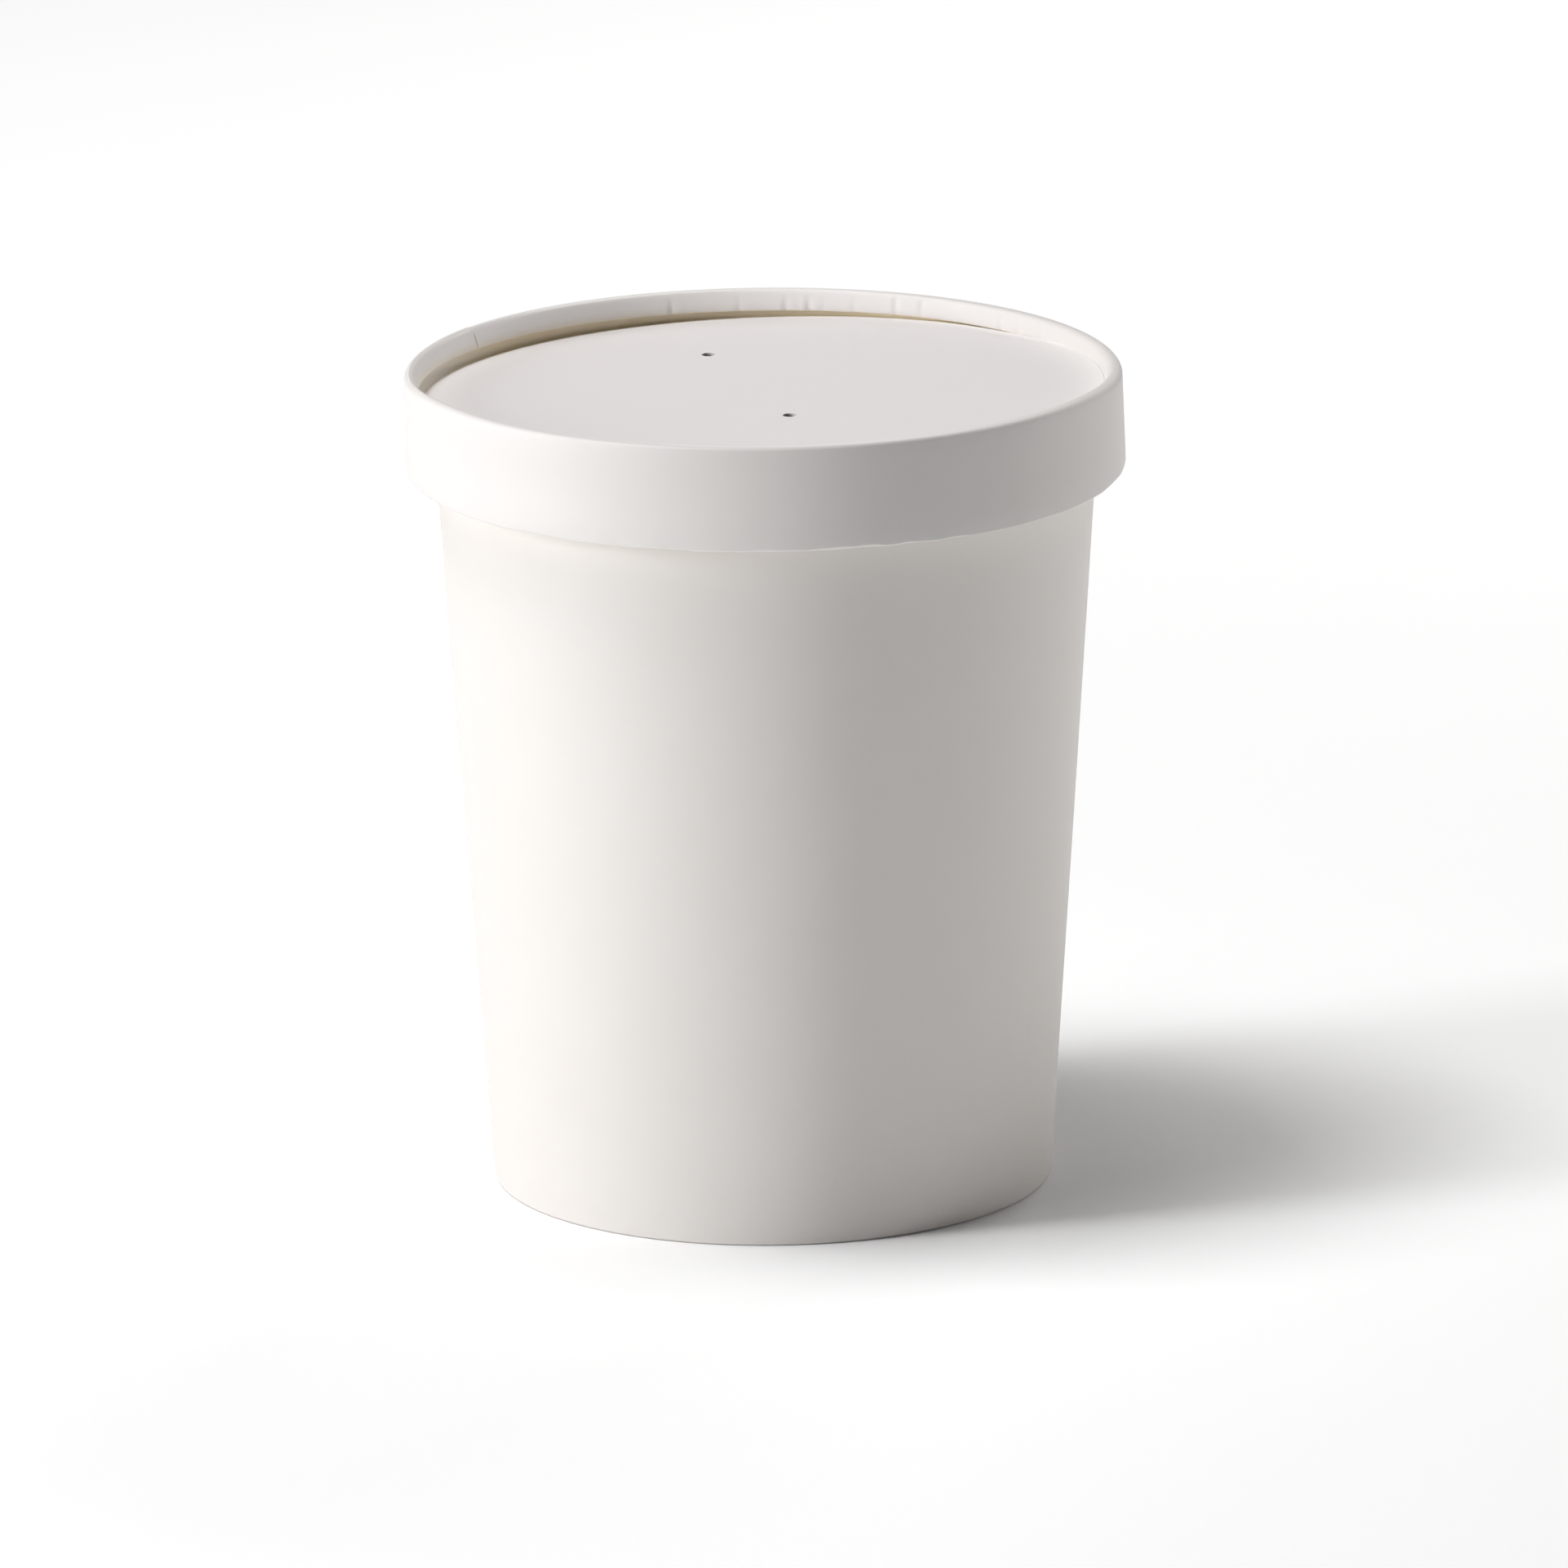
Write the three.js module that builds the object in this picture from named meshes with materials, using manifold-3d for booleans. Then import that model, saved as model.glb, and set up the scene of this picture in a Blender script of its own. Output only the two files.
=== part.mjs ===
// A takeaway soup container in millimetres, +Z up: a tapered paper cup, shut by a recessed paper lid.
// The origin is the centre of the circle that the foot stands on.
import * as THREE from 'three';
import { mergeVertices } from 'three/addons/utils/BufferGeometryUtils.js';
import Module from 'manifold-3d';

const wasm = await Module();
wasm.setup();

// Driving dimensions
const TOTAL_HEIGHT = 139.6;
const FOOT_RADIUS = 47.3;
const WALL_SLOPE = 0.0665; // growth of the cup's radius with height
const LID_RADIUS = 60; // the skirt's outer radius, just under the crown
const SKIRT_FLARE = 0.55; // how much wider the skirt is at its lower edge
const SKIRT_HEIGHT = 16.75; // from the crown's top to the skirt's lowest edge
const RIM_WIDTH = 2.6; // from the skirt's outer face to the hem's inner face
const RECESS_DEPTH = 5; // from the crown's top down to the disc
const HEM_GROOVE = 1.5; // the dark gap between the hem's lower edge and the disc

// Board and the roundings that its folds leave
const SKIRT_THICKNESS = 1;
const DISC_THICKNESS = 0.6;
const CURL_RADIUS = 1.05; // the skirt's lower edge is rolled inwards
const CROWN_OUTER_ROUND = 1.4;
const CROWN_INNER_ROUND = 1.1;
const DISC_EDGE_ROUND = 0.2;

// The cup's own rim and foot
const FIT_GAP = 0.4; // free space between pieces that rest on one another
const BEAD_RADIUS = 1.4; // the rolled rim, under the lid
const BEAD_INSET = 1.8; // from the lid's radius in to the bead's widest circle
const FOOT_THICKNESS = 1.6; // wall and inward fold together
const FOOT_ROUND = 0.4;
const FOOT_RECESS = 8.4; // how far the base lies above the table
const BASE_THICKNESS = 0.6;

// The cup's side seam, where the board laps over itself
const SEAM_STEP = 0.35;
const SEAM_FADE = THREE.MathUtils.degToRad(26); // the arc over which the lap sinks back into the wall
const SEAM_EDGE = THREE.MathUtils.degToRad(0.15); // half of the arc that the step itself takes

// The two vents in the lid's disc, both near one line through its centre
const VENT_RADIUS = 1;
const VENTS = [
  { azimuth: THREE.MathUtils.degToRad(107), distance: 32.8 },
  { azimuth: THREE.MathUtils.degToRad(286), distance: 14.7 },
];

// Fineness of the facets
const SIDES = 80;
const VENT_SIDES = 20;
const CORNER_STEPS = 2;
const CROWN_STEPS = 4;
const BEAD_STEPS = 8;
const CURL_STEPS = 12;

// Heights that follow from the sizes above
const discTop = TOTAL_HEIGHT - RECESS_DEPTH;
const discBottom = discTop - DISC_THICKNESS;
const hemBottom = discTop + HEM_GROOVE;
const cupTop = discBottom - FIT_GAP;
const skirtBottom = TOTAL_HEIGHT - SKIRT_HEIGHT;
const hemRadius = LID_RADIUS - RIM_WIDTH;

// The seam is at the back, midway between two columns of corners, which start at the front
const seamAzimuth = Math.PI / 2 + (3 * Math.PI) / SIDES;

const wallRadius = (height) => FOOT_RADIUS + WALL_SLOPE * height;

// Points of a round stretch of an outline, with angles in degrees from the outward direction
function arc(radius, height, round, from, to, steps) {
  const points = [];
  for (let i = 0; i <= steps; i += 1) {
    const angle = THREE.MathUtils.degToRad(from + ((to - from) * i) / steps);
    points.push(new THREE.Vector2(radius + round * Math.cos(angle), height + round * Math.sin(angle)));
  }
  return points;
}

const point = (radius, height) => new THREE.Vector2(radius, height);

// A turned solid, standing up
function turned(outline) {
  const geometry = new THREE.LatheGeometry(outline, SIDES);
  geometry.rotateX(Math.PI / 2);
  return geometry;
}

// The outer layer's free edge stands proud along the seam and sinks back into the wall beside it
function lapSeam(geometry, innerLimit) {
  const position = geometry.getAttribute('position');
  for (let i = 0; i < position.count; i += 1) {
    const x = position.getX(i);
    const y = position.getY(i);
    const radius = Math.hypot(x, y);
    if (radius > innerLimit) {
      const turn = Math.atan2(y, x) - seamAzimuth;
      const past = Math.atan2(Math.sin(turn), Math.cos(turn));
      const nearest = Math.abs(past) < (1.5 * Math.PI) / SIDES;
      const azimuth = seamAzimuth + (nearest ? Math.sign(past) * SEAM_EDGE : past);
      const share = past > 0 ? Math.max(0, 1 - past / SEAM_FADE) : 0;
      const lapped = radius + SEAM_STEP * share;
      position.setXY(i, lapped * Math.cos(azimuth), lapped * Math.sin(azimuth));
    }
  }
  return geometry;
}

// A closed mesh as a solid that can be cut
function toSolid(geometry) {
  const bare = geometry.clone();
  bare.deleteAttribute('normal');
  bare.deleteAttribute('uv');
  const merged = mergeVertices(bare);
  const index = merged.getIndex().array;
  const corners = [];
  for (let i = 0; i < index.length; i += 3) {
    const [a, b, c] = [index[i], index[i + 1], index[i + 2]];
    if (a !== b && b !== c && c !== a) {
      corners.push(a, b, c);
    }
  }
  const mesh = new wasm.Mesh({
    numProp: 3,
    vertProperties: new Float32Array(merged.getAttribute('position').array),
    triVerts: new Uint32Array(corners),
  });
  return new wasm.Manifold(mesh);
}

function toGeometry(solid) {
  const mesh = solid.getMesh();
  const geometry = new THREE.BufferGeometry();
  geometry.setAttribute('position', new THREE.BufferAttribute(mesh.vertProperties, 3));
  geometry.setIndex(new THREE.BufferAttribute(mesh.triVerts, 1));
  geometry.computeVertexNormals();
  return geometry;
}

// The cup, shut and so solid above its base: folded foot, tapered wall and rolled rim
function cupGeometry() {
  const ceiling = FOOT_RECESS + BASE_THICKNESS + FIT_GAP;
  const foldRadius = (height) => wallRadius(height) - FOOT_THICKNESS;
  const beadRadius = LID_RADIUS - BEAD_INSET - BEAD_RADIUS;
  const beadHeight = cupTop - BEAD_RADIUS;
  const beadStart = THREE.MathUtils.radToDeg(Math.acos((wallRadius(beadHeight) - beadRadius) / BEAD_RADIUS));
  const outline = [
    point(0, ceiling),
    point(foldRadius(ceiling), ceiling),
    ...arc(foldRadius(0) + FOOT_ROUND, FOOT_ROUND, FOOT_ROUND, 180, 270, CORNER_STEPS),
    ...arc(FOOT_RADIUS - FOOT_ROUND, FOOT_ROUND, FOOT_ROUND, -90, 0, CORNER_STEPS),
    ...arc(beadRadius, beadHeight, BEAD_RADIUS, -beadStart, 90, BEAD_STEPS),
    point(0, cupTop),
  ];
  return lapSeam(turned(outline), FOOT_RADIUS - FOOT_THICKNESS / 2);
}

// The round board that closes the cup, up inside the foot
function baseGeometry() {
  const radius = wallRadius(FOOT_RECESS) - FOOT_THICKNESS - FIT_GAP;
  return turned(boardOutline(radius, FOOT_RECESS, BASE_THICKNESS));
}

// A flat round board with its edge eased
function boardOutline(radius, height, thickness) {
  const inner = radius - DISC_EDGE_ROUND;
  return [
    point(0, height),
    ...arc(inner, height + DISC_EDGE_ROUND, DISC_EDGE_ROUND, -90, 0, CORNER_STEPS),
    ...arc(inner, height + thickness - DISC_EDGE_ROUND, DISC_EDGE_ROUND, 0, 90, CORNER_STEPS),
    point(0, height + thickness),
  ];
}

// The lid's band: skirt with a rolled lower edge, crown, and the hem that is folded in over the disc
function bandGeometry() {
  const curlHeight = skirtBottom + CURL_RADIUS;
  const curlCentre = LID_RADIUS + SKIRT_FLARE - CURL_RADIUS;
  const outerRound = TOTAL_HEIGHT - CROWN_OUTER_ROUND;
  const innerRound = TOTAL_HEIGHT - CROWN_INNER_ROUND;
  const outline = [
    ...arc(LID_RADIUS - CROWN_OUTER_ROUND, outerRound, CROWN_OUTER_ROUND, 0, 90, CROWN_STEPS),
    ...arc(hemRadius + CROWN_INNER_ROUND, innerRound, CROWN_INNER_ROUND, 90, 180, CROWN_STEPS),
    point(hemRadius, hemBottom),
    point(LID_RADIUS - SKIRT_THICKNESS, hemBottom),
    ...arc(curlCentre, curlHeight, CURL_RADIUS, 90, 360, CURL_STEPS),
    point(LID_RADIUS, outerRound),
  ];
  return turned(outline);
}

// The lid's disc, with its two round vents cut through
function discGeometry() {
  const radius = LID_RADIUS - SKIRT_THICKNESS - FIT_GAP;
  let disc = toSolid(turned(boardOutline(radius, discBottom, DISC_THICKNESS)));
  for (const vent of VENTS) {
    const drill = new THREE.CylinderGeometry(VENT_RADIUS, VENT_RADIUS, 4 * DISC_THICKNESS, VENT_SIDES);
    drill.rotateX(Math.PI / 2);
    const x = vent.distance * Math.cos(vent.azimuth);
    const y = vent.distance * Math.sin(vent.azimuth);
    drill.translate(x, y, (discTop + discBottom) / 2);
    disc = disc.subtract(toSolid(drill));
  }
  return toGeometry(disc);
}

// Uncoated white paper board, a touch warmer on the cup than on the lid
const cupBoard = new THREE.MeshStandardMaterial({ color: 0xefece8, roughness: 0.75, metalness: 0 });
const baseBoard = new THREE.MeshStandardMaterial({ color: 0xe9e6e1, roughness: 0.8, metalness: 0 });
const bandBoard = new THREE.MeshStandardMaterial({ color: 0xf0edea, roughness: 0.7, metalness: 0 });
const discBoard = new THREE.MeshStandardMaterial({ color: 0xeeebe9, roughness: 0.75, metalness: 0 });

function named(name, geometry, material) {
  const mesh = new THREE.Mesh(geometry, material);
  mesh.name = name;
  return mesh;
}

const container = new THREE.Group();
container.add(
  named('cup', cupGeometry(), cupBoard),
  named('cup_base', baseGeometry(), baseBoard),
  named('lid_band', bandGeometry(), bandBoard),
  named('lid_disc', discGeometry(), discBoard),
);

export default container;
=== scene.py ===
# %% [markdown]
# # A takeaway soup container
#
# The object is a tall paper cup for hot soup, shut by a paper lid. Everything on it is white board that
# has been rolled, folded or pressed, so nearly every form is turned about one upright axis. The lesson is
# in how the folds are drawn in section, and in the small unevenness that tells board from plastic.

# %% Load the frame
import math

import bmesh
import bpy
from mathutils import Matrix, Vector, noise


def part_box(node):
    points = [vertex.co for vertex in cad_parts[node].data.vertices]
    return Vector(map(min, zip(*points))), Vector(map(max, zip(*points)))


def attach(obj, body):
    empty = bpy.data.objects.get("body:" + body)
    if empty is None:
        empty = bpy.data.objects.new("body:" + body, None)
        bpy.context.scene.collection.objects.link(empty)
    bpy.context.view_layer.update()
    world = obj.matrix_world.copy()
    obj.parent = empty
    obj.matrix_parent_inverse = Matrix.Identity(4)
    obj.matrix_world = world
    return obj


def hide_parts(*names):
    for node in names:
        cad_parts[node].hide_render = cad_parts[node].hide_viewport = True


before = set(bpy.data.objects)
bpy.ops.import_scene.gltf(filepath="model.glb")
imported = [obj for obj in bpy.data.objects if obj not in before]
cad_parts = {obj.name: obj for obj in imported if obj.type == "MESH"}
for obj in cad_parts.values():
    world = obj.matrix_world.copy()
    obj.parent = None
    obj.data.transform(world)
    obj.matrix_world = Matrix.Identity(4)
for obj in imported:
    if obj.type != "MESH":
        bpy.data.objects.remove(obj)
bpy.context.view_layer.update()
mm = 0.001

band_low, band_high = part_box("lid_band")
disc_low, disc_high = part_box("lid_disc")
cup_low, cup_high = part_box("cup")
base_low, base_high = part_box("cup_base")
print("container", round(band_high.x * 2 / mm, 1), "mm wide and", round(band_high.z / mm, 1), "mm high")
print("disc", round(disc_high.x * 2 / mm, 1), "mm wide in the frame")

# %% [markdown]
# ## The camera
#
# The container is seen from far off through a long lens, a little from above, so its upright sides hardly
# draw together. The camera could be placed by eye. Here it is fitted to the round edges of the lid and the
# foot in the picture, because then every edge of the model falls where the real one does.

# %% Place the camera
picture_width = 1920
picture_scale = 7.2446  # pixels to a millimetre, at the distance of the container's axis
distance = 2751.5 * mm
look_down = math.radians(14.91)
camera_roll = math.radians(-0.584)
aim = Vector((2.5, 0, 67.37)) * mm
sensor = 36.0

camera_data = bpy.data.cameras.new("camera")
camera_data.sensor_width = sensor
camera_data.lens = sensor * picture_scale * distance / mm / picture_width
camera_data.dof.use_dof = False
camera = bpy.data.objects.new("camera", camera_data)
bpy.context.scene.collection.objects.link(camera)
camera.location = aim + distance * Vector((0, -math.cos(look_down), math.sin(look_down)))
upright = (aim - camera.location).to_track_quat("-Z", "Y").to_matrix().to_4x4()
camera.matrix_world = Matrix.Translation(camera.location) @ upright @ Matrix.Rotation(camera_roll, 4, "Z")
bpy.context.scene.camera = camera
print("lens", round(camera_data.lens, 1), "mm")

# %% [markdown]
# ## Soft studio light
#
# A narrow, tall soft box on the left gives the wall its long fall from white to grey. A box overhead
# lights the lid, and a weak one in front helps it. Three pale cards on the right and behind send a little
# light back, so the wall turns lighter again at its right edge. Even light from a bright room would be
# simpler, but it leaves the wall flat. All of these are area lights, because only a lamp with a real size
# makes a shadow that is sharp at the foot and soft further out.

# %% Hang the lights
lamp_distance = 1.5
cool_white = (0.99, 0.99, 1.0)
box_white = (1.0, 0.99, 0.985)
card_white = (1.0, 0.98, 0.96)
back_white = (1.0, 0.99, 0.98)
room_light = 0.002


def soft_light(name, azimuth, height_angle, width, height, power, colour):
    """An area light that faces the middle of the container"""
    light = bpy.data.lights.new(name, "AREA")
    light.shape = "RECTANGLE"
    light.size = width
    light.size_y = height
    light.energy = power
    light.color = colour
    lamp = bpy.data.objects.new(name, light)
    bpy.context.scene.collection.objects.link(lamp)
    azimuth = math.radians(azimuth)
    height_angle = math.radians(height_angle)
    level = math.cos(height_angle)
    direction = Vector((level * math.cos(azimuth), level * math.sin(azimuth), math.sin(height_angle)))
    lamp.location = aim + lamp_distance * direction
    lamp.rotation_euler = (-direction).to_track_quat("-Z", "Y").to_euler()
    print(name, power, "W")


soft_light("side box", 198, 13, 0.3, 0.8, 14.2, cool_white)
soft_light("top box", 194, 72, 0.5, 0.5, 13.0, box_white)
soft_light("front box", 215, 60, 0.5, 0.5, 2.0, box_white)
soft_light("low right card", 12, 7, 0.5, 0.5, 2.5, card_white)
soft_light("right card", 35, 15, 0.5, 0.5, 3.3, card_white)
soft_light("back card", 62, 36, 0.6, 0.5, 4.0, back_white)

world = bpy.data.worlds.new("dim room")
world.use_nodes = True
world.node_tree.nodes["Background"].inputs["Color"].default_value = (1, 1, 1, 1)
world.node_tree.nodes["Background"].inputs["Strength"].default_value = room_light
bpy.context.scene.world = world
bpy.context.scene.view_settings.view_transform = "Standard"

# %% [markdown]
# ## Writing a finish
#
# A board's finish is a few noises at different scales. The class below wraps one output of a shader node,
# so that sums and products of them can be written as plain arithmetic. The second class holds a material
# while it is being built and adds any other node by one method.

# %% A value that varies over the surface
class Field:
    def __init__(self, finish, socket):
        self.finish = finish
        self.socket = socket

    def _maths(self, operation, first, second):
        node = self.finish.node("ShaderNodeMath", {"operation": operation}, {0: first, 1: second})
        return Field(self.finish, node.outputs[0])

    def __add__(self, other):
        return self._maths("ADD", self, other)

    def __radd__(self, other):
        return self._maths("ADD", other, self)

    def __sub__(self, other):
        return self._maths("SUBTRACT", self, other)

    def __rsub__(self, other):
        return self._maths("SUBTRACT", other, self)

    def __mul__(self, other):
        return self._maths("MULTIPLY", self, other)

    def __rmul__(self, other):
        return self._maths("MULTIPLY", other, self)


# %% A finish under construction
class Finish:
    def __init__(self, name):
        self.material = bpy.data.materials.new(name)
        self.material.use_nodes = True
        self.tree = self.material.node_tree
        self.tree.nodes.clear()
        self.output = self.node("ShaderNodeOutputMaterial", {}, {})
        self.place = self.node("ShaderNodeTexCoord", {}, {}).outputs["Object"]

    def node(self, kind, settings, sockets):
        node = self.tree.nodes.new(kind)
        for key, value in settings.items():
            setattr(node, key, value)
        for key, value in sockets.items():
            if isinstance(value, Field):
                value = value.socket
            if isinstance(value, bpy.types.NodeSocket):
                self.tree.links.new(value, node.inputs[key])
            else:
                node.inputs[key].default_value = value
        return node

    def vector_maths(self, operation, first, second=(0, 0, 0)):
        return self.node("ShaderNodeVectorMath", {"operation": operation}, {0: first, 1: second}).outputs

    def noise(self, scale, detail, stretch=(1, 1, 1)):
        mapping = self.node("ShaderNodeMapping", {}, {"Vector": self.place, "Scale": stretch})
        sockets = {"Vector": mapping.outputs[0], "Scale": scale, "Detail": detail}
        return Field(self, self.node("ShaderNodeTexNoise", {}, sockets).outputs["Fac"])

    def between(self, factor, first, second):
        """A colour that goes from first to second as the factor goes from 0 to 1"""
        mixed = self.node("ShaderNodeMix", {"data_type": "RGBA"}, {0: factor, 6: first, 7: second})
        return mixed.outputs[2]

    def along(self, axis):
        """How far a spot is along X, Y or Z"""
        return Field(self, self.node("ShaderNodeSeparateXYZ", {}, {0: self.place}).outputs[axis])

    def out_from_axis(self):
        """How far a spot is from the upright axis"""
        flat = self.vector_maths("MULTIPLY", self.place, (1, 1, 0))[0]
        return Field(self, self.vector_maths("LENGTH", flat)[1])

    def fade(self, value, start, end):
        """0 before start and 1 past end, with a soft step between"""
        step = self.node("ShaderNodeMapRange", {"interpolation_type": "SMOOTHSTEP"},
                         {"Value": value, "From Min": start, "From Max": end})
        return Field(self, step.outputs[0])

    def ray(self, azimuth, half_width, faded_out):
        """1 on an upright line at that azimuth, 0 elsewhere"""
        across = (-math.sin(azimuth), math.cos(azimuth), 0)
        outwards = (math.cos(azimuth), math.sin(azimuth), 0)
        aside = self.vector_maths("DOT_PRODUCT", self.place, across)[1]
        ahead = self.vector_maths("DOT_PRODUCT", self.place, outwards)[1]
        off_line = self.node("ShaderNodeMath", {"operation": "ABSOLUTE"}, {0: aside}).outputs[0]
        return self.fade(off_line, faded_out, half_width) * self.fade(ahead, 0, 5 * mm)

    def surface(self, sockets):
        shader = self.node("ShaderNodeBsdfPrincipled", {}, sockets)
        self.tree.links.new(shader.outputs[0], self.output.inputs["Surface"])
        print("finish", self.material.name, "has", len(self.tree.nodes), "nodes")
        return self.material


# %% [markdown]
# ## White board
#
# Food board is bleached paper with a thin matt coat. From a step away it is plain white. Close up it has
# a cloudy warmth where the pulp is thicker, and a fine tooth of fibres that lie mostly along the roll. A
# noise for each of those is enough, and both are kept faint, because the real board is smooth. Where the
# coat is missing, as along a cut edge, the warm pulp shows. The same warm tone is also painted in the
# lid's groove as painted warm shade.

# %% Mix the board
# The warm pulp tone: uncoated pulp on cut edges, and also painted warm shade in the lid's groove.
pulp_and_shade_tone = (0.9, 0.795, 0.59, 1)
tooth_depth = 0.05 * mm
along_the_roll = (1, 1, 0.35)


def board(finish, light_tone, cloud_tone, roughness, tooth, pulp_and_shade=None):
    """A board finish. Where the last mask is 1, the warm pulp tone is painted: the uncoated pulp of a cut
    edge, and painted warm shade in the lid's groove.
    """
    cloud = finish.noise(60, 3)
    fibre = finish.noise(1500, 4, along_the_roll)
    grain = finish.noise(5200, 2)
    height = fibre * 0.7 + grain * 0.3
    bump = finish.node("ShaderNodeBump", {}, {"Strength": tooth, "Distance": tooth_depth, "Height": height})
    tone = finish.between(cloud, light_tone, cloud_tone)
    if pulp_and_shade is not None:
        tone = finish.between(pulp_and_shade, tone, pulp_and_shade_tone)
    return finish.surface({
        "Base Color": tone,
        "Roughness": roughness + (fibre - 0.5) * 0.12,
        "Normal": bump.outputs[0],
        "Specular IOR Level": 0.5,
    })


cup_board = board(Finish("cup board"), (0.775, 0.745, 0.718, 1), (0.755, 0.722, 0.69, 1), 0.55, 0.25)

# %% [markdown]
# ## Tools for turned pieces
#
# Each piece is drawn as half of its section: a wire with only its corner points. The corners are eased by
# a vertex bevel, and one full spin about the upright axis makes the piece. A lathe of this kind could be
# left to a Screw modifier, but a finished mesh can then be made uneven by hand, which board needs.

# %% Draw, ease and spin a section
columns = 400
crease = math.radians(38)
doubles = 0.001 * mm


def section(bm, corners, closed):
    """A wire through corners that are given as radius and height in millimetres"""
    points = [bm.verts.new((radius * mm, 0, height * mm)) for radius, height in corners]
    for first, second in zip(points, points[1:]):
        bm.edges.new((first, second))
    if closed:
        bm.edges.new((points[-1], points[0]))
    return points


def ease(bm, points, size, segments):
    """Rounds corners of a section"""
    bmesh.ops.bevel(bm, geom=points, offset=size * mm, offset_type="OFFSET", segments=segments, profile=0.5,
                    affect="VERTICES", material=-1)


def subdivide_long(bm, longest):
    """Cuts every edge of the section that is longer than that many millimetres"""
    for edge in list(bm.edges):
        cuts = int(edge.calc_length() / (longest * mm))
        if cuts > 0:
            bmesh.ops.subdivide_edges(bm, edges=[edge], cuts=cuts)


def spin(bm, steps=columns):
    """Turns the section once round the upright axis"""
    bmesh.ops.spin(bm, geom=bm.verts[:] + bm.edges[:], axis=(0, 0, 1), cent=(0, 0, 0), angle=math.tau,
                   steps=steps, use_merge=True)
    bmesh.ops.remove_doubles(bm, verts=bm.verts[:], dist=doubles)
    bmesh.ops.recalc_face_normals(bm, faces=bm.faces[:])


def add_object(bm, name):
    """Puts the bmesh into the scene as an object of its own"""
    mesh = bpy.data.meshes.new(name)
    bm.to_mesh(mesh)
    bm.free()
    made = bpy.data.objects.new(name, mesh)
    bpy.context.scene.collection.objects.link(made)
    return made


def keep(bm, name, finish, nodes):
    """Turns the bmesh into a piece of the container, in place of its solids"""
    for edge in bm.edges:
        edge.smooth = edge.calc_face_angle(0) < crease
    for face in bm.faces:
        face.smooth = True
    piece = add_object(bm, name)
    piece.data.materials.append(finish)
    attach(piece, "root")
    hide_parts(*nodes)
    print(name, "has", len(piece.data.polygons), "faces")


# %% [markdown]
# ## Uneven by hand
#
# Board that is wrapped round a form keeps long shallow waves, and where it laps over itself one layer
# stands proud. Both are moves of the finished mesh: every point is pushed in or out along its radius by
# an amount that depends on its azimuth. A displacing modifier could make the waves, but not a lap that
# starts at one exact line.

# %% Push points along their radius
wave_spread = 1.3
wave_rise = 70


def azimuth_of(point):
    return math.atan2(point.y, point.x)


def radius_of(point):
    """In millimetres"""
    return math.hypot(point.x, point.y) / mm


def turn_from(azimuth, start):
    """The signed angle from start to azimuth, between minus and plus half a turn"""
    return math.atan2(math.sin(azimuth - start), math.cos(azimuth - start))


def push(point, amount):
    """Moves a point outwards by so many millimetres"""
    radius = math.hypot(point.x, point.y)
    if radius > 1 * mm:
        point.x *= (radius + amount * mm) / radius
        point.y *= (radius + amount * mm) / radius


def wave(azimuth, height, seed, size):
    """A long shallow wave that closes on itself after one turn"""
    across = wave_spread * math.cos(azimuth)
    along = wave_spread * math.sin(azimuth)
    return noise.noise(Vector((across, along, height / mm / wave_rise + seed))) * size


def lap(bm, start, step, spread, chosen, steps=columns):
    """Lifts the layer past a lap seam and draws the two nearest columns together to make its edge"""
    for vert in bm.verts:
        if chosen(vert.co):
            past = turn_from(azimuth_of(vert.co), start)
            if abs(past) < 1.01 * math.pi / steps:
                vert.co = Matrix.Rotation(past * -0.9, 3, "Z") @ vert.co
            share = max(0.0, 1 - past / spread) if past > 0 else 0.0
            push(vert.co, step * share)


# %% [markdown]
# ## The cup
#
# The cup is one sheet of board wrapped to a cone and glued along a lap at the back. At the top its edge
# is rolled outwards into a bead that the lid grips, and at the foot it is folded inwards and up, over the
# edge of the base. A thick solid would look the same from outside, but then the lid's vents would show
# white paper right under them. So the wall is drawn as a real thin sheet, with its roll and its fold.

# %% Sizes of the cup
foot_radius = 47.3
wall_slope = 0.0665
sheet = 0.45
fold_width = 1.6
fold_floor = 1.1
fold_height = 6.6
bead = 1.4
bead_radius = 58.2
cup_top = cup_high.z / mm
seam_azimuth = math.radians(96.75)
seam_step = 0.4


def wall_radius(height):
    return foot_radius + wall_slope * height


# %% Wrap the cup's wall
bm = bmesh.new()
points = section(bm, [
    (wall_radius(fold_height) - fold_width, fold_height),
    (wall_radius(0) - fold_width, 0),
    (wall_radius(0), 0),
    (wall_radius(cup_top - 2 * bead), cup_top - 2 * bead),
    (bead_radius, cup_top - 2 * bead),
    (bead_radius, cup_top),
    (wall_radius(cup_top - bead) - sheet, cup_top),
    (wall_radius(fold_floor) - sheet, fold_floor),
    (wall_radius(fold_floor) - fold_width + sheet, fold_floor),
    (wall_radius(fold_height) - fold_width + sheet, fold_height),
], closed=True)
ease(bm, [points[1], points[2]], 0.55, 4)
ease(bm, [points[4], points[5]], bead * 0.98, 6)
ease(bm, [points[3]], 0.3, 3)
ease(bm, [points[6]], 0.9, 4)
ease(bm, [points[7], points[8]], 0.2, 2)
ease(bm, [points[0], points[9]], 0.1, 2)
subdivide_long(bm, 6)
spin(bm)


# %% Lap the wall and make it uneven
def on_the_outside(point):
    return math.hypot(point.x, point.y) > wall_radius(point.z / mm) * mm - 0.3 * mm


lap(bm, seam_azimuth, seam_step, math.radians(26), on_the_outside)
for vert in bm.verts:
    above_foot = min(1.0, vert.co.z / (20 * mm))
    push(vert.co, wave(azimuth_of(vert.co), vert.co.z, 3.0, 0.08) * above_foot)
keep(bm, "cup_wall", cup_board, ["cup"])

# %% [markdown]
# ## The base
#
# The base is a round board pressed up into the foot, with its edge bent down into the fold of the wall.
# Seen from below, it is a flat disc whose corner turns softly into the ring. A flat disc alone would do
# for the picture, but the container is also seen from below. Its board is the rougher, uncoated side.

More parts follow.
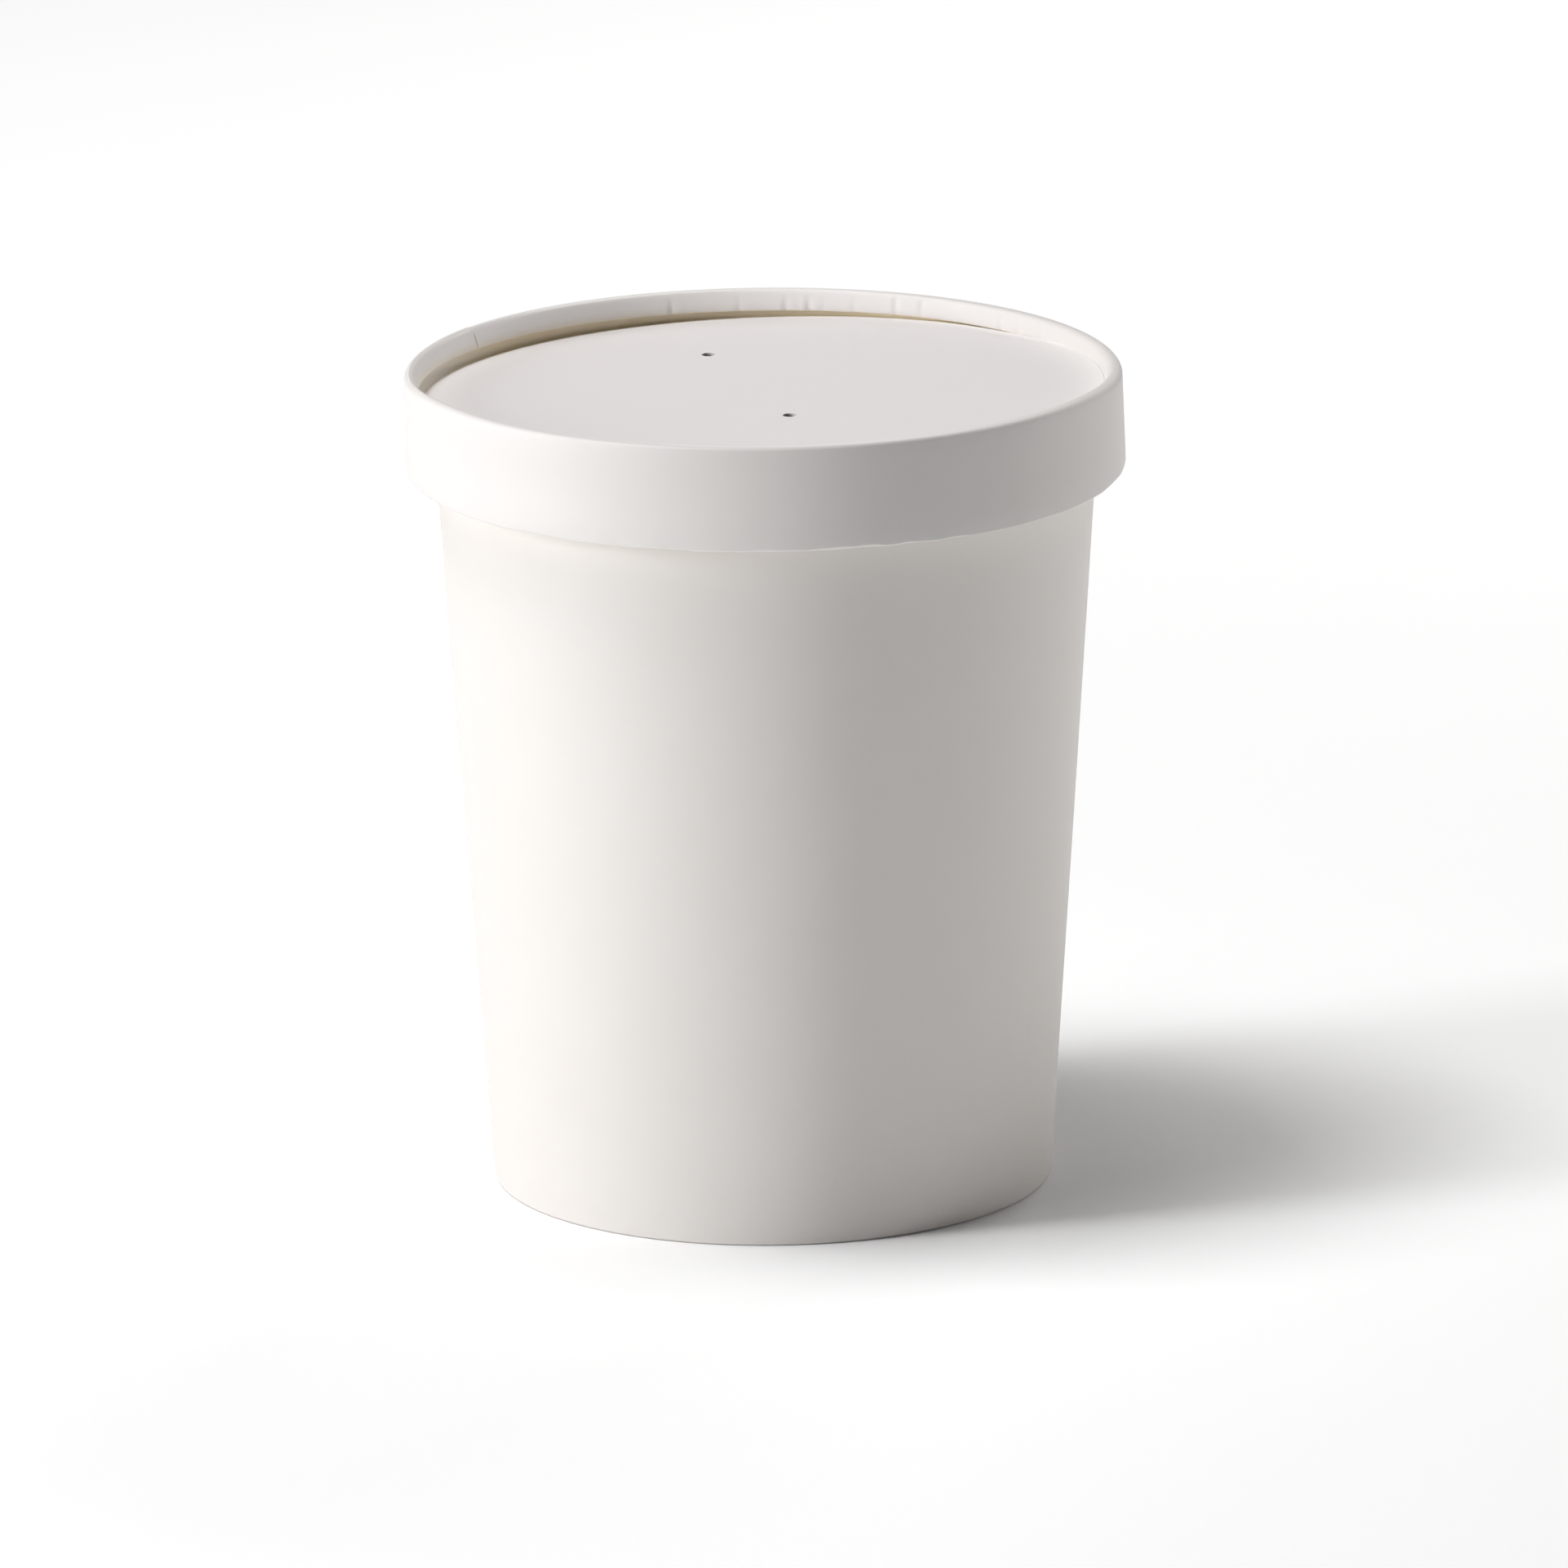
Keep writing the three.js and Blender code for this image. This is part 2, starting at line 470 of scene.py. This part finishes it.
# %% Press the base
base_under = base_low.z / mm
base_gap = 0.62
lip_bottom = 1.4
lip_radius = wall_radius(base_under) - base_gap
base_dome = 0.35
base_board = board(Finish("base board"), (0.74, 0.725, 0.7, 1), (0.71, 0.695, 0.67, 1), 0.68, 0.35)

bm = bmesh.new()
points = section(bm, [
    (0, base_under),
    (lip_radius - sheet, base_under),
    (wall_radius(lip_bottom) - base_gap - sheet, lip_bottom),
    (wall_radius(lip_bottom) - base_gap, lip_bottom),
    (lip_radius, base_under + sheet),
    (0, base_under + sheet),
], closed=False)
ease(bm, [points[1], points[4]], 0.8, 5)
subdivide_long(bm, 6)
spin(bm)
for vert in bm.verts:
    reach = math.hypot(vert.co.x, vert.co.y) / (lip_radius * mm)
    vert.co.z += base_dome * mm * max(0.0, 1 - reach ** 2)
keep(bm, "base", base_board, ["cup_base"])

# %% [markdown]
# ## The lid's band
#
# The band is a strip of board: it starts as the skirt with its lower edge rolled inwards, turns over at
# the crown, and comes down inside as a hem. It could be a flat strip with a thickness added by a
# modifier, but the fold is too tight for that. Its section is drawn as one closed wire, so the fold has
# its real air inside.

# %% Sizes of the band
rim_top = band_high.z / mm
skirt_bottom = band_low.z / mm
lid_radius = 60.0
skirt_flare = band_high.x / mm - lid_radius
rim_width = 2.6
skirt_board = 1.0
hem_board = 0.5
curl = 1.05
curl_ease = curl * 0.98
hem_bottom = 136.1
hem_bend = 0.9
hem_edge = 0.12
hem_radius = lid_radius - rim_width
hem_lean = 0.25
hollow_top = rim_top - 1.2
crown_outer = 1.3
crown_inner = 1.0
band_columns = 800

# %% Fold the band
bm = bmesh.new()
points = section(bm, [
    (lid_radius + skirt_flare, skirt_bottom),
    (lid_radius, rim_top),
    (hem_radius + hem_lean, rim_top),
    (hem_radius, hem_bottom + hem_bend),
    (hem_radius + hem_edge, hem_bottom),
    (hem_radius + hem_board, hem_bottom),
    (hem_radius + hem_lean + hem_board, hollow_top),
    (lid_radius - skirt_board, hollow_top),
    (lid_radius + skirt_flare - skirt_board, skirt_bottom + 2 * curl),
    (lid_radius + skirt_flare - 2 * curl, skirt_bottom + 2 * curl),
    (lid_radius + skirt_flare - 2 * curl, skirt_bottom),
], closed=True)
ease(bm, [points[0], points[10]], curl_ease, 6)
ease(bm, [points[1]], crown_outer, 8)
ease(bm, [points[2]], crown_inner, 8)
ease(bm, [points[3]], 0.4, 3)
ease(bm, [points[4], points[5]], hem_edge, 2)
ease(bm, [points[9]], 0.5, 3)
subdivide_long(bm, 2)
spin(bm, band_columns)
print("band section", len(bm.verts) // band_columns, "points")

# %% [markdown]
# ## The crown
#
# The fold at the crown isn't the same all round. At the front and the back the board was bent sharply,
# and towards the left and right ends it is a soft round. A bevel makes the same round everywhere. So the
# crown was drawn soft, and its points are now drawn in towards the corner of the section where the fold
# is sharp.

# %% Draw the crown in
def soft_step(value, start, end):
    """0 before start and 1 past end, with a soft step between"""
    share = max(0.0, min(1.0, (value - start) / (end - start)))
    return share * share * (3 - 2 * share)


def leftward(point, power):
    """1 at the left end of the lid, 0 at the front, the back and the right"""
    return max(0.0, -math.cos(azimuth_of(point))) ** power


def softness(point):
    """1 at the lid's left and right ends, less than half at the front and the back"""
    return 0.45 + 0.55 * abs(math.cos(azimuth_of(point))) ** 3


def draw_in(bm, radius, height, side, up, size, share_at):
    """Scales an eased corner of a section towards its corner point"""
    for vert in bm.verts:
        inward = (radius - radius_of(vert.co)) * side
        away = (vert.co.z / mm - height) * up
        on_arc = abs(math.hypot(size - inward, size - away) - size) < 0.06
        if on_arc and inward < size + 0.01 and away < size + 0.01:
            share = share_at(vert.co)
            push(vert.co, inward * side * (1 - share))
            vert.co.z = (height + away * share * up) * mm


draw_in(bm, lid_radius, rim_top, 1, -1, crown_outer, softness)
draw_in(bm, hem_radius + hem_lean, rim_top, -1, -1, crown_inner, softness)

# %% [markdown]
# ## The curl
#
# The skirt's lower edge is rolled inwards. Where the roll is round it catches the light as a thin bright
# line, and where it has been pressed flat it doesn't. A noise alone could spread such bits, and does so
# at the back. At the front they are placed by their pixels, so that they fall where the picture has them.

# %% Flatten the curl unevenly
skirt_axis_px = 939
front_scale = picture_scale * 1.02  # the front of the lid is nearer to the lens
front_radius_px = front_scale * lid_radius
round_px = ((932, 16, 0.45), (1020, 24, 0.65), (1062, 18, 0.55), (1111, 8, 0.35), (1172, 16, 0.3))
round_bits = []
for px, half_width, size in round_px:
    bit = -math.acos((px - skirt_axis_px) / front_radius_px)
    round_bits.append((bit, half_width / front_radius_px, size))
front_start = -1.75


def curl_roundness(point):
    """Round at the lid's ends and in short bits of the front, nearly flat in between"""
    azimuth = azimuth_of(point)
    if front_start < azimuth < 0:
        bits = [size * math.exp(-(turn_from(azimuth, bit) / half) ** 4) for bit, half, size in round_bits]
        uneven = max(bits)
    else:
        spot = Vector((math.cos(azimuth), math.sin(azimuth), 0.3)) * 18
        uneven = 0.7 * max(0.0, noise.noise(spot))
    flat = 0.38 - 0.3 * soft_step(azimuth, -1.15, -1.0) * (azimuth < 0)
    ends = abs(math.cos(azimuth)) ** 10
    return min(1.0, flat + uneven * (1 - flat) + ends)


draw_in(bm, lid_radius + skirt_flare, skirt_bottom, 1, 1, curl_ease, curl_roundness)
print(len(round_bits), "round bits along the front of the curl")

# %% [markdown]
# ## An uneven rim
#
# A lid that has been pressed on and off is no true circle. At its left end the fold bulges out by more
# than half a millimetre, most of all the hem, and at the front the rim stands a little higher. A lattice
# could pull the whole lid about, but these two moves reach only the top of the band, so they are written
# out.

# %% Bulge the left end and raise the front
left_bulge = 0.7
front_rise = 0.85
shaped_depth = 9


def bulge(bm, size):
    """Pushes the top of the lid's left end outwards, most of all the hem"""
    for vert in bm.verts:
        radius = radius_of(vert.co)
        height_share = soft_step(vert.co.z / mm, rim_top - shaped_depth, rim_top - 2)
        inner_share = 1.2 * soft_step(radius, 59.4, 58.2) * leftward(vert.co, 2)
        share = leftward(vert.co, 1.5) * height_share * (1 + inner_share) * (radius / lid_radius) ** 6
        push(vert.co, size * share)


bulge(bm, left_bulge)
for vert in bm.verts:
    frontward = soft_step(-math.sin(azimuth_of(vert.co)), 0.0, 0.5)
    height_share = soft_step(vert.co.z / mm, rim_top - shaped_depth, rim_top - 1)
    vert.co.z += front_rise * mm * frontward * height_share

# %% [markdown]
# ## A leaning hem
#
# From the left end to the middle the hem leans outwards, so its face looks up a little and takes more
# light from above. On the right it stands straight, and its lower edge is pressed in over the disc. The
# section could be drawn leaning, but it would lean all round.

# %% Lean the hem
hem_opening = 0.95
hem_foot_pull = 0.4
hem_pressed = 0.6

for vert in bm.verts:
    near_hem = soft_step(radius_of(vert.co), hem_radius + 2.0, hem_radius + 0.8)
    level = (vert.co.z / mm - hem_bottom) / (rim_top - hem_bottom)
    level = max(0.0, min(1.0, level))
    lean = soft_step(-vert.co.x / mm, -40, 6)
    push(vert.co, (hem_opening * level - hem_foot_pull) * lean * near_hem)
    pressed = hem_pressed * soft_step(vert.co.x / mm, 25, 50)
    push(vert.co, -pressed * near_hem * (1 - level))

# %% Let the curl wander
curl_in = 0.22
curl_up = 0.3

for vert in bm.verts:
    if vert.co.z < (skirt_bottom + 2.2 * curl) * mm:
        azimuth = azimuth_of(vert.co)
        push(vert.co, -abs(wave(azimuth * 5, 0, 11.0, curl_in)))
        near_edge = 1 - (vert.co.z / mm - skirt_bottom) / 2.4
        vert.co.z += abs(wave(azimuth * 4, 0, 17.0, curl_up)) * mm * near_edge

# %% [markdown]
# ## Pleats and a lap
#
# The inside of the fold is shorter than the outside, so the hem gathers in small pleats. The ones that
# the picture shows are placed by their pixels, and the hidden front gets the same number at loose
# distances. The two ends of the band overlap at one seam, which runs over the hem and the skirt. A bump
# could draw both, but they are real folds, and they show in the mesh.

# %% Pleat the hem
rim_axis_px = 936
back_scale = picture_scale * 0.98  # the back of the lid is further from the lens
pleat_px = (990, 905, 962, 1008, 1222, 1243, 1095, 1045, 823, 1126, 1270, 700, 640)
pleat_width = math.radians(0.5)
pleat_depth = 0.18
pleat_sizes = (1.0, 0.6, 0.8, 0.4)
pleats = [math.acos((px - rim_axis_px) / (back_scale * hem_radius)) for px in pleat_px]
pleats += [-angle + math.radians(4 * math.sin(3 * angle)) for angle in pleats]
for vert in bm.verts:
    if radius_of(vert.co) < hem_radius + 0.35 and vert.co.z < (rim_top - 0.5) * mm:
        azimuth = azimuth_of(vert.co)
        for number, pleat in enumerate(pleats):
            away = turn_from(azimuth, pleat) / pleat_width
            if abs(away) < 4:
                size = pleat_depth * pleat_sizes[number % 4]
                push(vert.co, size * math.exp(-away ** 2) - 0.35 * size * math.exp(-(away - 1.8) ** 2))
print(len(pleats), "pleats")

# %% Lap the band
band_seam = math.radians(147.375)
skirt_step = 0.22
hem_step = -0.2


def on_the_skirt(point):
    return math.hypot(point.x, point.y) > (lid_radius - 1) * mm


def on_the_hem(point):
    return math.hypot(point.x, point.y) < (hem_radius + 0.3) * mm


lap(bm, band_seam, skirt_step, math.radians(14), on_the_skirt, band_columns)
lap(bm, band_seam, hem_step, math.radians(12), on_the_hem, band_columns)

# %% [markdown]
# ## The hem on the disc
#
# The disc doesn't lie quite level: it has sunk on the left, and on the right its edge is bent up against
# the hem. One function gives its height everywhere. The hem is fitted to it here, and the disc is bent by
# it later, so the two can't run through each other.

# %% Rest the hem on the disc
disc_level = 134.9
disc_slope = 0.0235
disc_sag = 0.0001
edge_lift = 0.7


def disc_height(x, out=0):
    """The disc's height at so many millimetres to the right and out from the axis"""
    lifted = edge_lift * soft_step(out, 50, 57.5) * soft_step(x, 40, 57)
    return disc_level + disc_slope * x + disc_sag * x * x + lifted


for vert in bm.verts:
    radius = radius_of(vert.co)
    if radius < hem_radius + 0.8 and vert.co.z < rim_top * mm - 1.2 * mm:
        vert.co.z = max(vert.co.z, (disc_height(vert.co.x / mm, radius) - 0.05) * mm)

# %% [markdown]
# ## The band's board
#
# The same board is given different tones in its parts. The skirt is a little greyer than the inside of the
# hem: the hem's inside is painted lighter as painted light, most of all on the left, and turns darker to
# the right as painted shade. Along the hem's cut edge the coat is missing and bare pulp shows. On the left,
# where the groove is open and lies in shade, the warm pulp tone also runs up the hem as painted warm shade.
# At the seam a dark line of painted shade stands for the shadow of the board's raised end. Each part could
# have a material of its own. One material with masks keeps the band one piece, and lets the tones run
# softly into each other.

# %% Give the band its board
# The seam's painted shade: a dark tone for the shadow of the board's raised end.
seam_shadow_tone = (0.4, 0.37, 0.33, 1)
skirt_light = (0.752, 0.728, 0.713, 1)
skirt_cloud = (0.732, 0.706, 0.687, 1)

finish = Finish("band board")
above_hem = finish.along("Z") - hem_bottom * mm
out = finish.out_from_axis()
# Painted warm shade: on the left the warm pulp tone runs up the hem's lower part, where the groove lies in
# shade.
shaded_left = finish.fade(finish.along("X"), 0, -30 * mm)
painted_warm_shade = finish.fade(above_hem, 1.7 * mm, 0.3 * mm) * shaded_left * 0.35
edge_stain = finish.fade(above_hem, 0.25 * mm, 0.05 * mm) * 0.6
inside_fold = finish.fade(out, (lid_radius - 0.9) * mm, (lid_radius - 1.2) * mm)
outside = finish.fade(out, (lid_radius - 1.2) * mm, (lid_radius - 0.2) * mm)
open_groove = finish.fade(finish.along("X"), 49 * mm, 41 * mm)
# Painted light and shade: the inside of the hem is painted lighter on the left and darker towards the
# right.
painted_shade_rightward = finish.fade(finish.along("X"), 5 * mm, 50 * mm)
hem_lit_and_shaded_tone = finish.between(painted_shade_rightward, (0.93, 0.905, 0.885, 1), (0.795, 0.77, 0.75, 1))
hem_lit_and_shaded_cloud = finish.between(painted_shade_rightward, (0.91, 0.88, 0.855, 1), (0.775, 0.745, 0.723, 1))
below_rim = finish.fade(above_hem, 3 * mm, 2 * mm)
# Painted shadow: a dark line along the seam, below the rim, where the board's end lies on the layer below.
seam_shadow_line = finish.ray(band_seam, 0.08 * mm, 0.24 * mm) * below_rim * 0.75
light_tone = finish.between(seam_shadow_line, finish.between(outside, hem_lit_and_shaded_tone, skirt_light), seam_shadow_tone)
cloud_tone = finish.between(seam_shadow_line, finish.between(outside, hem_lit_and_shaded_cloud, skirt_cloud), seam_shadow_tone)
# The pulp mask holds the uncoated cut edge and the painted warm shade above it.
bare_pulp_and_shade = (painted_warm_shade + edge_stain) * inside_fold * open_groove
band_board = board(finish, light_tone, cloud_tone, 0.55, 0.25, bare_pulp_and_shade)
keep(bm, "lid_band_folded", band_board, ["lid_band"])

# %% [markdown]
# ## The lid's disc
#
# The disc is held in the fold of the band by its turned-up edge. Between the hem and the disc runs a
# groove in which that edge shows, and which fades out on the right. A flat disc would end in a sharp line
# against the hem, so the turned-up edge is drawn in the section.

# %% Sizes of the disc
disc_middle = disc_height(0)
flange_radius = 58.65
flange_inside = flange_radius - sheet
flange_top = 137.6
inner_turn = 1.1
outer_turn = 1.2


def turn_share(point):
    """The edge turns up in a wide round at the left end, and tightly elsewhere"""
    return 0.3 + 0.7 * leftward(point, 3)


# %% Press the disc
bm = bmesh.new()
points = section(bm, [
    (0, disc_middle),
    (flange_inside, disc_middle),
    (flange_inside, flange_top),
    (flange_radius, flange_top),
    (flange_radius, disc_middle - sheet),
    (0, disc_middle - sheet),
], closed=False)
ease(bm, [points[1]], inner_turn, 6)
ease(bm, [points[4]], outer_turn, 6)
subdivide_long(bm, 2.5)
spin(bm)
draw_in(bm, flange_inside, disc_middle, 1, 1, inner_turn, turn_share)
bulge(bm, left_bulge)
for vert in bm.verts:
    up_flange = max(0.0, vert.co.z / mm - disc_middle) / (flange_top - disc_middle)
    sunk = disc_height(vert.co.x / mm, radius_of(vert.co)) - disc_middle
    vert.co.z += sunk * (1 - up_flange) * mm

# %% [markdown]
# ## Two vents
#
# A pair of pinholes lets the steam out. They are punched from above, so their edge is pressed down a
# little. A mesh could be cut by hand round each hole. Punching a small rod through the finished disc with
# a Boolean is simpler and leaves a clean round edge.

# %% Punch the vents
vent_radius = 1.15
vents = [(math.radians(107), 32.8), (math.radians(286), 14.7)]
dimple_radius = 1.6
dimple_depth = 0.12
rod_length = 8

rods = bmesh.new()
for azimuth, out in vents:
    spot = Vector((out * math.cos(azimuth), out * math.sin(azimuth), disc_middle)) * mm
    bmesh.ops.create_cone(rods, cap_ends=True, segments=32, radius1=vent_radius * mm,
                          radius2=vent_radius * mm, depth=rod_length * mm, matrix=Matrix.Translation(spot))
    for vert in bm.verts:
        away = math.hypot(vert.co.x - spot.x, vert.co.y - spot.y) / mm
        vert.co.z -= dimple_depth * mm * math.exp(-(away / dimple_radius) ** 2)
whole = add_object(bm, "whole disc")
rod = add_object(rods, "rods")
punch = whole.modifiers.new("punch", "BOOLEAN")
punch.object = rod
punch.operation = "DIFFERENCE"
punch.solver = "EXACT"
cut_mesh = whole.evaluated_get(bpy.context.evaluated_depsgraph_get()).to_mesh()
bm = bmesh.new()
bm.from_mesh(cut_mesh)
print("disc has", len(bm.faces), "faces with its vents")
bpy.data.objects.remove(whole)
bpy.data.objects.remove(rod)

# %% [markdown]
# ## The disc's board
#
# The disc's face is the coated side of the board, a shade lighter than the skirt. Its turned-up edge is
# painted in the warm pulp tone, partly bare pulp and partly painted warm shade of the groove. It shows as a
# warm line in the groove and fades at the far left. On the right, where the disc is pressed against the
# hem, its edge is painted lighter, as painted light that the bright hem throws on it. As on the band,
# masks of one material do this.

# %% Give the disc its board
finish = Finish("disc board")
out = finish.out_from_axis()
flange = finish.fade(out, (hem_radius - 0.1) * mm, (hem_radius + 0.35) * mm)
open_groove = finish.fade(finish.along("X"), 49 * mm, 41 * mm)
far_left = finish.fade(finish.along("X"), -44 * mm, -57 * mm)
# Painted light: the disc's right edge is painted lighter, for the light that the bright hem throws on it.
painted_bounce_light_edge = finish.fade(out, 51 * mm, 57 * mm) * finish.fade(finish.along("X"), 42 * mm, 55 * mm)
light_tone = finish.between(painted_bounce_light_edge, (0.855, 0.824, 0.817, 1), (0.91, 0.885, 0.865, 1))
cloud_tone = finish.between(painted_bounce_light_edge, (0.834, 0.802, 0.794, 1), (0.895, 0.87, 0.845, 1))
# The turned-up edge takes the warm pulp tone: partly uncoated pulp, partly painted warm shade of the
# groove, weaker at the far left.
disc_board = board(finish, light_tone, cloud_tone, 0.58, 0.25, flange * open_groove * (1 - far_left * 0.6))
keep(bm, "lid_disc_pressed", disc_board, ["lid_disc"])

# %% [markdown]
# ## The floor
#
# The floor is a plain white sheet, wide enough to fill the view. In a studio it is lit from all sides.
# Many more lamps could do that, but they would also light the wall. So the sheet glows a little by
# itself: not under the container, some way out from its foot, and more towards the distance.

# %% Lay the floor
floor_reach = 4
near_glow = 0.14
far_glow = 0.25

bm = bmesh.new()
bmesh.ops.create_grid(bm, x_segments=1, y_segments=1, size=floor_reach)
floor = add_object(bm, "floor")
paper = Finish("floor paper")
out = paper.out_from_axis()
glow = paper.fade(out, 0.047, 0.092) * near_glow + paper.fade(out, 0.1, 1.0) * far_glow
floor.data.materials.append(paper.surface({
    "Base Color": paper.between(paper.noise(3, 2), (0.965, 0.97, 0.975, 1), (0.95, 0.955, 0.96, 1)),
    "Roughness": 0.9,
    "Specular IOR Level": 0.0,
    "Emission Color": paper.between(glow, (0, 0, 0, 1), (1, 1, 1, 1)),
    "Emission Strength": 1.0,
}))
